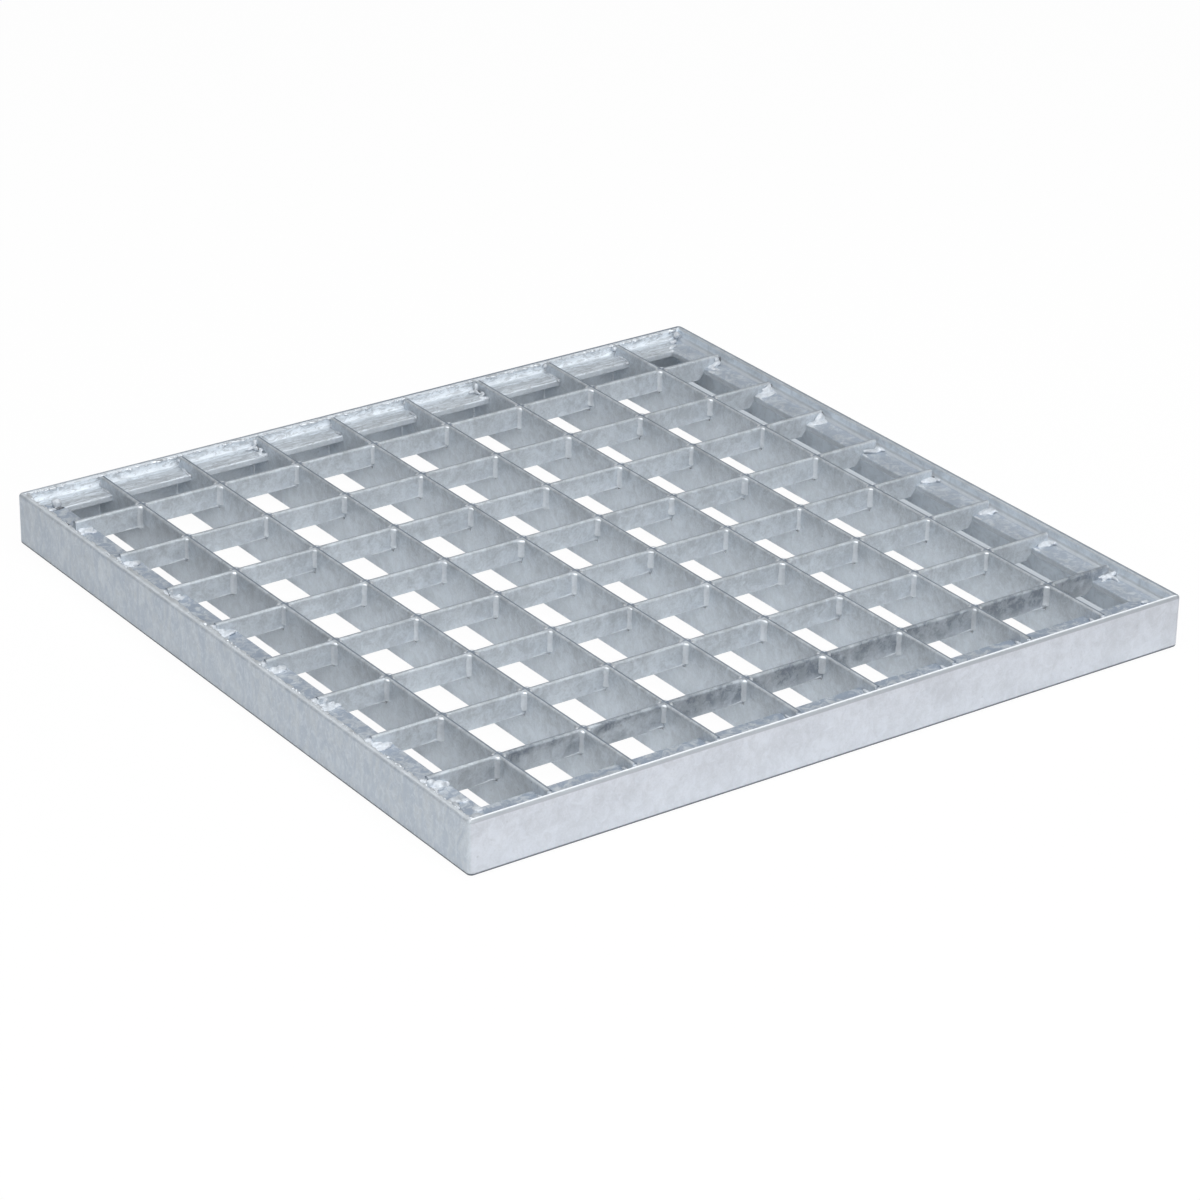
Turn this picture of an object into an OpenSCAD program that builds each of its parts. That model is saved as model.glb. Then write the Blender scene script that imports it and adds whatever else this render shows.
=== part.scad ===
// Steel grating panel: a square mesh of flat bars in a bent edging strip.
// X runs along the cross bars, Y along the bearing bars, Z is up.
// The origin is the middle of the underside.

/* [Panel] */
// Outside width of the panel, along the cross bars
panel_x = 300; // [200:10:600]
// Outside length of the panel, along the bearing bars
panel_y = 300; // [200:10:600]
// Overall height of the panel
panel_h = 20; // [18:1:40]
// Meshes across the width
cells_x = 9; // [3:1:16]
// Meshes along the length
cells_y = 9; // [3:1:16]

/* [Bars] */
// Thickness of a bearing bar
bearing_t = 2; // [1.5:0.25:4]
// Thickness of a cross bar
cross_t = 2; // [1.5:0.25:4]
// Height of a cross bar, measured down from the walking surface
cross_h = 8.5; // [7.5:0.5:12]
// Depth of the slot left open under each cross bar, where it is let into a bearing bar
slot_relief = 1.25; // [0.5:0.25:2]
// Rounding of the two top edges of every bar
bar_edge_r = 0.7; // [0.2:0.1:0.7]
// Gap above the rib between the web and the end of a bearing bar
bearing_gap = 1.5; // [1:0.5:3]
// Gap above the rib between the web and the end of a cross bar
cross_gap = 3; // [2:0.5:5]
// Slope of the cropped lower corner at each end of a cross bar
crop_angle = 50; // [45:5:75]

/* [Edging] */
// Thickness of the edging's upright web
web_t = 2.5; // [2:0.25:4]
// Distance from the walking surface down to the top of the inward rib
rib_drop = 4; // [3:0.25:5]
// Thickness of the rib
rib_t = 2.5; // [2:0.25:2.5]
// Reach of the rib, measured from the outside of the web
rib_reach = 13; // [10:0.5:15]
// Radius of the hollow between the web and the top of the rib
top_root_r = 2; // [1:0.25:2]
// Radius of the hollow between the web and the underside of the rib
under_root_r = 1; // [0.5:0.25:2]
// Radius on the outside of each corner of the edging
bend_r = 2; // [1.5:0.5:6]
// Radius along the outer edges of the web, top and bottom
edge_r = 1; // [0.5:0.25:1]
// Radius along the inner top edge of the web
top_edge_r = 0.9; // [0.3:0.1:0.9]

/* [Hidden] */

arc_steps = 4;              // flats in a quarter of a small rounding
bar_steps = 3;              // flats in the rounding of a bar's top edge
bend_steps = 48;            // flats in a full turn of a bent corner
web_ease = 0.4;             // broken lower edge on the inside of the web
nose_ease = 0.6;            // rounded edges of the rib's nose
pitch_x = panel_x / cells_x;
pitch_y = panel_y / cells_y;
rib_top = panel_h - rib_drop;
rib_bottom = rib_top - rib_t;
bar_embed = web_t / 2;      // bars are drawn this far into the web, then trimmed to it
crop_size = 2 * cross_h;    // side of the wedge that crops a cross bar's end

// Points of an arc, from one angle to another
function arc(cx, cz, r, from, to, steps = arc_steps) =
    [for (k = [0 : steps]) let (a = from + (to - from) * k / steps)
        [cx + r * cos(a), cz + r * sin(a)]];

// Section of the edging: first value inward from the outside face, second value up
function edging_section() = concat(
    [[web_t - web_ease, 0], [web_t, web_ease]],
    arc(web_t + under_root_r, rib_bottom - under_root_r, under_root_r, 180, 90),
    arc(rib_reach - nose_ease, rib_bottom + nose_ease, nose_ease, -90, 0),
    arc(rib_reach - nose_ease, rib_top - nose_ease, nose_ease, 0, 90),
    arc(web_t + top_root_r, rib_top + top_root_r, top_root_r, 270, 180),
    arc(web_t - top_edge_r, panel_h - top_edge_r, top_edge_r, 0, 90),
    arc(edge_r, panel_h - edge_r, edge_r, 90, 180),
    arc(edge_r, edge_r, edge_r, 180, 270));

// One straight run of the edging between two corners, along the face at -Y
module edging_run(length, half_depth) {
    translate([-length / 2, -half_depth, 0])
        rotate([90, 0, 90])
            linear_extrude(length)
                polygon(edging_section());
}

// One corner, at -X and -Y: the section turned about the bend's own axis
module edging_bend() {
    translate([bend_r - panel_x / 2, bend_r - panel_y / 2, 0])
        rotate(180)
            rotate_extrude(angle = 90, $fn = bend_steps)
                intersection() {
                    translate([bend_r, 0])
                        mirror([1, 0])
                            polygon(edging_section());
                    square([bend_r, panel_h]);
                }
}

// The whole edging as one closed ring
module edging_ring() {
    for (turn = [0, 180]) {
        rotate(turn)
            edging_run(panel_x - 2 * bend_r, panel_y / 2);
        rotate(turn + 90)
            edging_run(panel_y - 2 * bend_r, panel_x / 2);
    }
    for (mx = [0, 1], my = [0, 1])
        mirror([mx, 0, 0])
            mirror([0, my, 0])
                edging_bend();
}

// Clear space above the rib, between the web and the ends of the bars' tongues
module tongue_space(gap) {
    translate([0, 0, rib_top])
        linear_extrude(panel_h)
            difference() {
                square([panel_x, panel_y], center = true);
                square([panel_x - 2 * (web_t + gap),
                        panel_y - 2 * (web_t + gap)], center = true);
            }
}

// Section of a flat bar with its two top edges rounded: first value across, second up
function bar_section(thickness, low) = concat(
    [[-thickness / 2, low], [thickness / 2, low]],
    arc(thickness / 2 - bar_edge_r, panel_h - bar_edge_r, bar_edge_r, 0, 90, bar_steps),
    arc(bar_edge_r - thickness / 2, panel_h - bar_edge_r, bar_edge_r, 90, 180, bar_steps));

// Bearing bars: full height, slotted a little deeper than each cross bar they take
module bearing_bars() {
    for (k = [1 : cells_x - 1])
        translate([(k - cells_x / 2) * pitch_x, 0, 0])
            difference() {
                rotate([90, 0, 0])
                    linear_extrude(panel_y - 2 * bar_embed, center = true)
                        polygon(bar_section(bearing_t, 0));
                for (m = [1 : cells_y - 1])
                    translate([-bearing_t, (m - cells_y / 2) * pitch_y - cross_t / 2,
                               panel_h - cross_h - slot_relief])
                        cube([2 * bearing_t, cross_t, cross_h / 2 + slot_relief]);
            }
}

// Wedge that crops the lower corner of a cross bar, from the rib's nose downward
module end_crop() {
    translate([rib_reach, cross_t, rib_bottom + nose_ease])
        rotate([90, 0, 0])
            linear_extrude(2 * cross_t)
                polygon([[-crop_size, 0], [0, 0],
                         [crop_size / tan(crop_angle), -crop_size],
                         [-crop_size, -crop_size]]);
}

// Cross bars: let into the top of the bearing bars, flush with them
module cross_bars() {
    for (k = [1 : cells_y - 1])
        translate([0, (k - cells_y / 2) * pitch_y, 0])
            difference() {
                rotate([90, 0, 90])
                    linear_extrude(panel_x - 2 * bar_embed, center = true)
                        polygon(bar_section(cross_t, panel_h - cross_h));
                for (side = [0, 1])
                    mirror([side, 0, 0])
                        translate([-panel_x / 2, 0, 0])
                            end_crop();
            }
}

module bar_grid() {
    color([0.62, 0.65, 0.68])
        difference() {
            union() {
                difference() {
                    bearing_bars();
                    tongue_space(bearing_gap);
                }
                difference() {
                    cross_bars();
                    tongue_space(cross_gap);
                }
            }
            edging_ring();
        }
}

module edging_strip() {
    color([0.70, 0.72, 0.75])
        edging_ring();
}

bar_grid();
edging_strip();
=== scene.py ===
import math
import random

import bmesh
import bpy
from bpy.props import (FloatProperty, FloatVectorProperty, IntProperty,
                       PointerProperty)
from bpy.types import Operator, Panel, PropertyGroup
from mathutils import Matrix, Vector, noise


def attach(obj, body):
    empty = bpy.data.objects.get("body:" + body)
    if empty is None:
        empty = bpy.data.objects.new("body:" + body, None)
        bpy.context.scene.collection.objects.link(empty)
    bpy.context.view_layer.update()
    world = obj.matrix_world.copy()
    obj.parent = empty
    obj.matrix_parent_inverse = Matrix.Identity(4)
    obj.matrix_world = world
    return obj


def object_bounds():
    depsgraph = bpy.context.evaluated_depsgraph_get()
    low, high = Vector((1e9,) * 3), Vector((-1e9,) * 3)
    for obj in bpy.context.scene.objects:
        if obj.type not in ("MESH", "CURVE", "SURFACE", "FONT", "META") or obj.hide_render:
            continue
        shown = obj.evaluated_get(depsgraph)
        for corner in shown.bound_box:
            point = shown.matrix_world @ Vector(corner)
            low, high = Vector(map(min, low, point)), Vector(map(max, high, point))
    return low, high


bl_info = {
    "name": "Steel grating panel",
    "version": (1, 0, 0),
    "blender": (4, 5, 0),
    "location": "3D View > Sidebar > Grating",
    "description": "Zinc coating, welds and stage for a galvanised grating panel",
    "category": "Object",
}

MM = 0.001
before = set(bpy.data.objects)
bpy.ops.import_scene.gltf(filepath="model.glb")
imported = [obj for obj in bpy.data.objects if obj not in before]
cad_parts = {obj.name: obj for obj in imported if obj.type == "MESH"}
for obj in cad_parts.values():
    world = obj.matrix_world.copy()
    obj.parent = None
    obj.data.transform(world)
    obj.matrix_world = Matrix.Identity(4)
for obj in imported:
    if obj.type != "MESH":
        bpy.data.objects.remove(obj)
CAD_LOW, CAD_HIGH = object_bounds()
PANEL = CAD_HIGH - CAD_LOW


# ---------------------------------------------------------------- settings

# what all colours and all shares have in common
COLOUR = {"subtype": "COLOR", "size": 3, "min": 0, "max": 1}
SHARE = {"subtype": "FACTOR", "min": 0, "max": 1}


class GratingSizes(PropertyGroup):
    """Sizes of the bars and of the edging, as the panel has them."""
    cells_x: IntProperty(name="Meshes across", default=9, min=2,
                         description="Meshes between the two side edgings")
    cells_y: IntProperty(name="Meshes along", default=9, min=2,
                         description="Meshes between the front and far edgings")
    bar_t: FloatProperty(name="Bar thickness", default=2 * MM, unit="LENGTH",
                         description="Thickness of bearing and cross bars")
    cross_h: FloatProperty(name="Cross bar height", default=8.5 * MM, unit="LENGTH",
                           description="Height of a cross bar, from the top down")
    web_t: FloatProperty(name="Web thickness", default=2.5 * MM, unit="LENGTH",
                         description="Thickness of the edging's upright web")
    rib_reach: FloatProperty(name="Rib reach", default=13 * MM, unit="LENGTH",
                             description="From the outside face to the rib's nose")
    rib_top: FloatProperty(name="Rib top", default=16 * MM, unit="LENGTH",
                           description="Height of the rib's upper face above the floor")


class GratingFinish(PropertyGroup):
    """Colours and grain of the hot-dipped zinc."""
    bar_colour: FloatVectorProperty(name="Bar zinc", default=(0.56, 0.605, 0.65),
                                    description="Zinc on the bearing and cross bars", **COLOUR)
    edging_colour: FloatVectorProperty(name="Edging zinc", default=(0.56, 0.605, 0.65),
                                       description="Zinc on the edging strip", **COLOUR)
    run_colour: FloatVectorProperty(name="Run zinc", default=(0.66, 0.70, 0.74),
                                    description="Thick zinc in fillets, drops and welds", **COLOUR)
    roughness: FloatProperty(name="Roughness", default=0.48,
                             description="Middle roughness of the dull zinc", **SHARE)
    run_roughness: FloatProperty(name="Run roughness", default=0.42,
                                 description="Roughness of thick, shinier zinc", **SHARE)
    weld_colour: FloatVectorProperty(name="Weld zinc", default=(0.58, 0.62, 0.665),
                                     description="Zinc over the welds at the bar ends", **COLOUR)
    # dark zinc of the real stains on the front cross bar, used also for painted shade on the bar
    # tops, the rim's outer edge and along the bottom
    stain_and_shade_colour: FloatVectorProperty(name="Stain colour", default=(0.15, 0.18, 0.225),
                                      description="Dark zinc in stains, flanks and edges", **COLOUR)
    mottle: FloatProperty(name="Mottle", default=0.21,
                          description="Share by which the cloudy patches darken the zinc", **SHARE)
    stain: FloatProperty(name="Stain", default=0.75,
                         description="Depth of the dark flecks on the front cross bar", **SHARE)
    # dark of the painted shade in the slits of the welds
    slit_shade_colour: FloatVectorProperty(name="Slag", default=(0.12, 0.13, 0.145),
                                     description="Dark slag left in the slits of the welds",
                                     **COLOUR)


class GratingZinc(PropertyGroup):
    """Sizes of the thick zinc left by the bath."""
    fillet_leg: FloatProperty(name="Fillet leg", default=1.42 * MM, unit="LENGTH",
                              description="Width of the zinc fillet on each bar's face")
    drip: FloatProperty(name="Drip", default=0.68 * MM, unit="LENGTH",
                        description="Radius of the drip along a cross bar's lower edge")
    grain: FloatProperty(name="Weld grain", default=0.32 * MM, unit="LENGTH",
                         description="Fineness of the fused skin of welds and beads")
    skin: FloatProperty(name="Clearance", default=0.04 * MM, unit="LENGTH",
                        description="How far zinc stays below the walking surface")


class GratingStage(PropertyGroup):
    """Floor, lamps and camera."""
    floor_size: FloatProperty(name="Floor", default=6.0, unit="LENGTH",
                              description="Side of the square floor")
    floor_colour: FloatVectorProperty(name="Floor colour", default=(0.9, 0.9, 0.9),
                                      description="Matt white floor", **COLOUR)
    roofed_colour: FloatVectorProperty(name="Shaded floor colour", default=(0.55, 0.60, 0.65),
                                       description="Floor in the shade of the right-hand rib",
                                       **COLOUR)
    floor_glow: FloatProperty(name="Floor glow", default=0.95,
                              description="Share of plain white in the floor's colour", **SHARE)
    room: FloatProperty(name="Room light", default=0.15, min=0,
                        description="Even light of the pale room")
    front_lamp: FloatProperty(name="Front softbox", default=6.6, min=0,
                              description="Brightness of the softbox beside the camera")
    side_lamp: FloatProperty(name="Side softbox", default=3.8, min=0,
                             description="Brightness of the softbox right of the camera")
    top_lamp: FloatProperty(name="Top softbox", default=3.2, min=0,
                            description="Brightness of the softbox overhead")
    lens: FloatProperty(name="Lens", default=128.138, min=1, unit="CAMERA",
                        description="Focal length on a 36 mm sensor")
    heading: FloatProperty(name="Heading", default=math.radians(-35.503), subtype="ANGLE",
                           description="Direction the camera looks from")
    height: FloatProperty(name="Elevation", default=math.radians(25.805), subtype="ANGLE",
                          description="Angle of the camera above the floor")
    roll: FloatProperty(name="Roll", default=math.radians(0.987), subtype="ANGLE",
                        description="Turn of the camera about its own axis")
    distance: FloatProperty(name="Distance", default=1.51297, unit="LENGTH",
                            description="From the camera to the point it looks at")
    aim: FloatVectorProperty(name="Aim", size=3, subtype="TRANSLATION", unit="LENGTH",
                             default=(-11.202 * MM, -23.995 * MM, 10 * MM),
                             description="Point that the camera looks at")


SETTINGS = {"grating_sizes": GratingSizes, "grating_finish": GratingFinish,
            "grating_zinc": GratingZinc, "grating_stage": GratingStage}


# ---------------------------------------------------------------- places

def bar_places(cells, low, high):
    """Middles of the bars between two opposite outside faces."""
    pitch = (high - low) / cells
    return [low + pitch * k for k in range(1, cells)]


def bearing_bars(sizes):
    """Middles of the bearing bars, from left to right."""
    return bar_places(sizes.cells_x, CAD_LOW.x, CAD_HIGH.x)


def cross_bars(sizes):
    """Middles of the cross bars, from front to far."""
    return bar_places(sizes.cells_y, CAD_LOW.y, CAD_HIGH.y)


def bars_by_side(sizes):
    """Middles of the bars that end at each side of the edging."""
    return {"left": cross_bars(sizes), "right": cross_bars(sizes),
            "front": bearing_bars(sizes), "far": bearing_bars(sizes)}


def crossings(sizes):
    """Each crossing of a bearing bar (x) and a cross bar (y)."""
    return [(x, y) for x in bearing_bars(sizes) for y in cross_bars(sizes)]


# ---------------------------------------------------------------- node helpers

class NodeSheet:
    """Adds and joins shader nodes of one material or world."""

    def __init__(self, tree):
        self.tree = tree
        tree.nodes.clear()

    def add(self, kind, **settings):
        node = self.tree.nodes.new(kind)
        for key, value in settings.items():
            setattr(node, key, value)
        return node

    def join(self, source, target):
        self.tree.links.new(source, target)

    def math(self, operation, first, second=0.5, clamp=False):
        node = self.add("ShaderNodeMath", operation=operation, use_clamp=clamp)
        for socket, value in zip(node.inputs, (first, second)):
            if isinstance(value, (int, float)):
                socket.default_value = value
            else:
                self.join(value, socket)
        return node.outputs[0]

    def times(self, first, *others):
        for other in others:
            first = self.math("MULTIPLY", first, other)
        return first

    def plus(self, first, *others):
        for other in others:
            first = self.math("ADD", first, other)
        return first

    def split(self, vector):
        node = self.add("ShaderNodeSeparateXYZ")
        self.join(vector, node.inputs[0])
        return tuple(node.outputs)

    def noise(self, vector, scale, detail=2.0, roughness=0.5, distortion=0.0):
        node = self.add("ShaderNodeTexNoise")
        node.inputs["Scale"].default_value = scale
        node.inputs["Detail"].default_value = detail
        node.inputs["Roughness"].default_value = roughness
        node.inputs["Distortion"].default_value = distortion
        self.join(vector, node.inputs["Vector"])
        return node.outputs["Fac"]

    def cells(self, vector, scale, feature="F1", output="Distance"):
        node = self.add("ShaderNodeTexVoronoi", feature=feature)
        node.inputs["Scale"].default_value = scale
        self.join(vector, node.inputs["Vector"])
        return node.outputs[output]

    def stretch(self, vector, scale):
        node = self.add("ShaderNodeMapping")
        node.inputs["Scale"].default_value = scale
        self.join(vector, node.inputs["Vector"])
        return node.outputs[0]

    def remap(self, value, low, high, to_low=0.0, to_high=1.0):
        node = self.add("ShaderNodeMapRange", interpolation_type="SMOOTHSTEP")
        for socket, number in zip(node.inputs[1:5], (low, high, to_low, to_high)):
            socket.default_value = number
        self.join(value, node.inputs[0])
        return node.outputs[0]

    def mix(self, factor, first, second, blend="MIX"):
        node = self.add("ShaderNodeMix", data_type="RGBA", blend_type=blend)
        for socket, value in ((node.inputs[0], factor), (node.inputs[6], first),
                              (node.inputs[7], second)):
            if isinstance(value, (int, float)):
                socket.default_value = value
            elif isinstance(value, (tuple, list, Vector)):
                socket.default_value = (*value[:3], 1.0)
            else:
                self.join(value, socket)
        return node.outputs[2]

    def band(self, value, low, high, soft):
        """1 between the two heights, fading to 0 over the soft distance outside them."""
        return self.times(self.remap(value, low - soft, low),
                          self.remap(value, high, high + soft, 1.0, 0.0))

    def bump(self, height, strength, distance, before=None):
        node = self.add("ShaderNodeBump")
        node.inputs["Strength"].default_value = strength
        node.inputs["Distance"].default_value = distance
        self.join(height, node.inputs["Height"])
        if before:
            self.join(before, node.inputs["Normal"])
        return node.outputs[0]


def tinted(colour, share):
    """The colour made darker (share below 1) or lighter (above 1), its hue kept."""
    share = min(share, 1.0 / max(colour))
    return tuple(c * share for c in colour)


# fineness of the zinc's textures, per metre: large clouds, patches, runs down upright
# faces, grain, crystals, pits, and the groups that the pits lie in
CLOUDS, PATCHES, RUNS, GRAIN = 70, 250, 420, 1300
CRYSTALS, PITS, PIT_GROUPS = 330, 260, 120
# share that each of the first four has in the zinc's tone
CLOUD_SHARE, PATCH_SHARE, RUN_SHARE, GRAIN_SHARE = 0.24, 0.49, 0.03, 0.24


def zinc_material(name, colour, roughness, mottle, relief, speckle, pitted, marks=None,
                  metal=0.5):
    """Dull hot-dipped zinc: cloudy patches, fine crystals, runs and pits.

    The marks function, if any, adds the stains of one CAD node, and its painted light and shade.
    """
    material = bpy.data.materials.new(name)
    material.use_nodes = True
    s = NodeSheet(material.node_tree)
    place = s.add("ShaderNodeTexCoord").outputs["Object"]
    patches = s.noise(place, PATCHES, 5, 0.68, 0.8)
    grain = s.noise(place, GRAIN, 2, 0.6)
    tone = s.plus(s.times(s.noise(place, CLOUDS, 3, 0.55, 0.4), CLOUD_SHARE),
                  s.times(patches, PATCH_SHARE),
                  s.times(s.noise(s.stretch(place, (1, 1, 0.25)), RUNS, 3, 0.6), RUN_SHARE),
                  s.times(grain, GRAIN_SHARE))
    zinc = s.mix(s.remap(tone, 0.36, 0.64), tinted(colour, 1 - mottle),
                 tinted(colour, 1 + mottle * 0.75))
    # a math node turns the crystals' random colours into greys
    crystals = s.times(s.cells(place, CRYSTALS, output="Color"), 1.0)
    zinc = s.mix(speckle, zinc, crystals, "SOFT_LIGHT")
    pit = s.times(s.remap(s.cells(place, PITS), 0.05, 0.16, 1.0, 0.0),
                  s.remap(s.noise(place, PIT_GROUPS, 1), 0.56, 0.62, 0.0, pitted))
    zinc = s.mix(s.times(pit, 0.5), zinc, tinted(colour, 0.55))
    shader = s.add("ShaderNodeBsdfPrincipled")
    shader.inputs["Metallic"].default_value = metal
    if marks:
        zinc, chalky = marks(s, place, zinc, colour)
        s.join(s.remap(chalky, 0.0, 1.0, metal, 0.0), shader.inputs["Metallic"])
    s.join(zinc, shader.inputs["Base Color"])
    s.join(s.remap(s.plus(patches, s.times(grain, 0.5)), 0.5, 1.0,
                   roughness - 0.07, roughness + 0.09), shader.inputs["Roughness"])
    wavy = s.bump(patches, 0.55, relief * 1.6)
    rough = s.bump(s.math("SUBTRACT", grain, s.times(pit, 0.8)), 0.6, relief * 0.45, wavy)
    s.join(rough, shader.inputs["Normal"])
    s.join(shader.outputs[0], s.add("ShaderNodeOutputMaterial").inputs["Surface"])
    return material


def across_bar(s, coordinate, span, cells):
    """Distance from the middle of the nearest bar along one axis, with its sign."""
    pitch = span / cells
    share = s.math("FRACT", s.plus(s.math("DIVIDE", coordinate, pitch), 0.5 * cells + 0.5))
    return s.times(s.math("SUBTRACT", share, 0.5), pitch)


# near-white of the painted light in the shaded slits below the cross bars
SLIT_LIGHT = (0.95, 0.97, 1.0)


def bar_marks(s, place, zinc, colour):
    """Stains on the cross bar nearest the front, painted shade on the tops, painted light low down
    and in the slits.

    Also returns where it is chalky rather than bright: in the slits below the cross bars.
    """
    sizes, look = bpy.context.scene.grating_sizes, bpy.context.scene.grating_finish
    x, y, height = s.split(place)
    # stains: flecks within clouds, on the front side of the first cross bar
    row = cross_bars(sizes)[0]
    flecks = s.remap(s.noise(place, 300, 5, 0.72, 0.4), 0.42, 0.60)
    stain = s.times(s.band(y, row - 1.6 * MM, row, 0.3 * MM),
                    s.remap(height, 9 * MM, 15 * MM),
                    s.remap(s.noise(place, 55, 3, 0.55, 0.8), 0.36, 0.56),
                    s.plus(s.times(flecks, 0.55), 0.45))
    zinc = s.mix(s.times(stain, look.stain), zinc, tinted(look.stain_and_shade_colour, 1.0))
    # painted shade on the right or far side of each bar's top, where its rounded edge turns away
    # from the lamps
    across_x = across_bar(s, x, PANEL.x, sizes.cells_x)
    across_y = across_bar(s, y, PANEL.y, sizes.cells_y)
    crown = s.remap(height, 18.9 * MM, 19.5 * MM)
    for across, start, soft, depth, tint in ((across_x, 0.05, 0.35, 0.85, 1.5),
                                             (across_y, 0.30, 0.30, 0.70, 1.7)):
        flank_shade = s.times(s.band(across, start * MM, 1.2 * MM, soft * MM), crown)
        zinc = s.mix(s.times(flank_shade, depth), zinc, tinted(look.stain_and_shade_colour, tint))
    # painted light: paler toward the floor, as if lit from the white floor, and near-white, chalky
    # zinc in the slits, which lie in shade
    lower = s.remap(height, 4 * MM, 19 * MM, 1.0, 0.0)
    zinc = s.mix(s.times(lower, 0.35), zinc, tinted(colour, 1.35))
    slit_light = s.times(s.band(across_x, -0.95 * MM, 0.95 * MM, 0.03 * MM),
                   s.band(across_y, -1.2 * MM, 1.2 * MM, 0.1 * MM),
                   s.band(height, 10.1 * MM, 11.4 * MM, 0.2 * MM))
    return s.mix(s.times(slit_light, 0.85), zinc, SLIT_LIGHT), slit_light


def edging_sides(s, x, y):
    """Distance inward from the nearest outside face, then 1 on the front, far, left, right."""
    out_x = s.math("SUBTRACT", CAD_HIGH.x, s.math("ABSOLUTE", x))
    out_y = s.math("SUBTRACT", CAD_HIGH.y, s.math("ABSOLUTE", y))
    on_x = s.math("LESS_THAN", out_x, out_y)
    on_y = s.math("SUBTRACT", 1.0, on_x)
    return (s.math("MINIMUM", out_x, out_y),
            s.times(on_y, s.math("LESS_THAN", y, 0.0)),
            s.times(on_y, s.math("GREATER_THAN", y, 0.0)),
            s.times(on_x, s.math("LESS_THAN", x, 0.0)),
            s.times(on_x, s.math("GREATER_THAN", x, 0.0)))


# near-white of the painted highlight along the rim's top
RIM_HIGHLIGHT = (0.92, 0.96, 1.0)
# shares of red, green and blue: in the clouds of the left face, and over the front face
LEFT_CLOUD = (0.80, 0.84, 0.90)
FRONT_TINT = (1.0, 0.97, 0.98)


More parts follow.
